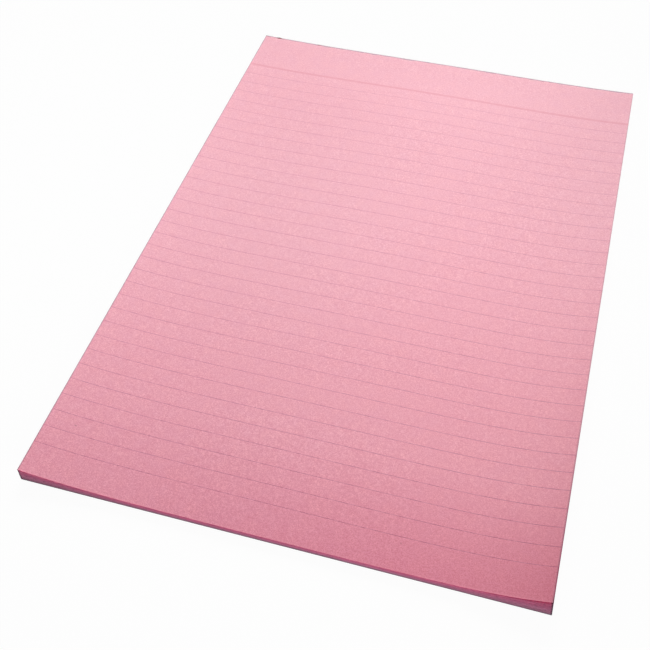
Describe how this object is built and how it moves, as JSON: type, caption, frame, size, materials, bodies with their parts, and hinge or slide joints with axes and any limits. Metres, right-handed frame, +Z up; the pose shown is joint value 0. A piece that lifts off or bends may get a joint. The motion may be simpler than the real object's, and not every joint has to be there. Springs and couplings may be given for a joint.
{
  "type": "writing pad",
  "caption": "Pink A4 ruled writing pad: loose leaves glued along the head edge to a thin grey backing board, with the free foot corners curled up.",
  "frame": {"origin": "centre of the pad's outline, on the underside of the backing board", "axes": "+X across the leaf to the right of a reader at the foot, +Y from the foot to the glued head edge, +Z up out of the written face"},
  "size_m": [0.21, 0.2974, 0.0112],
  "materials": {
    "greyboard": "matte",
    "pink_paper": "matte, uncoated",
    "padding_glue": "satin film",
    "feint_ink": "matte print",
    "head_ink": "matte print"
  },
  "bodies": {
    "root": {"backing_board": "greyboard", "leaves": "pink_paper", "head_glue": "padding_glue", "feint_rules": "feint_ink", "head_rule": "head_ink"}
  },
  "joints": []
}
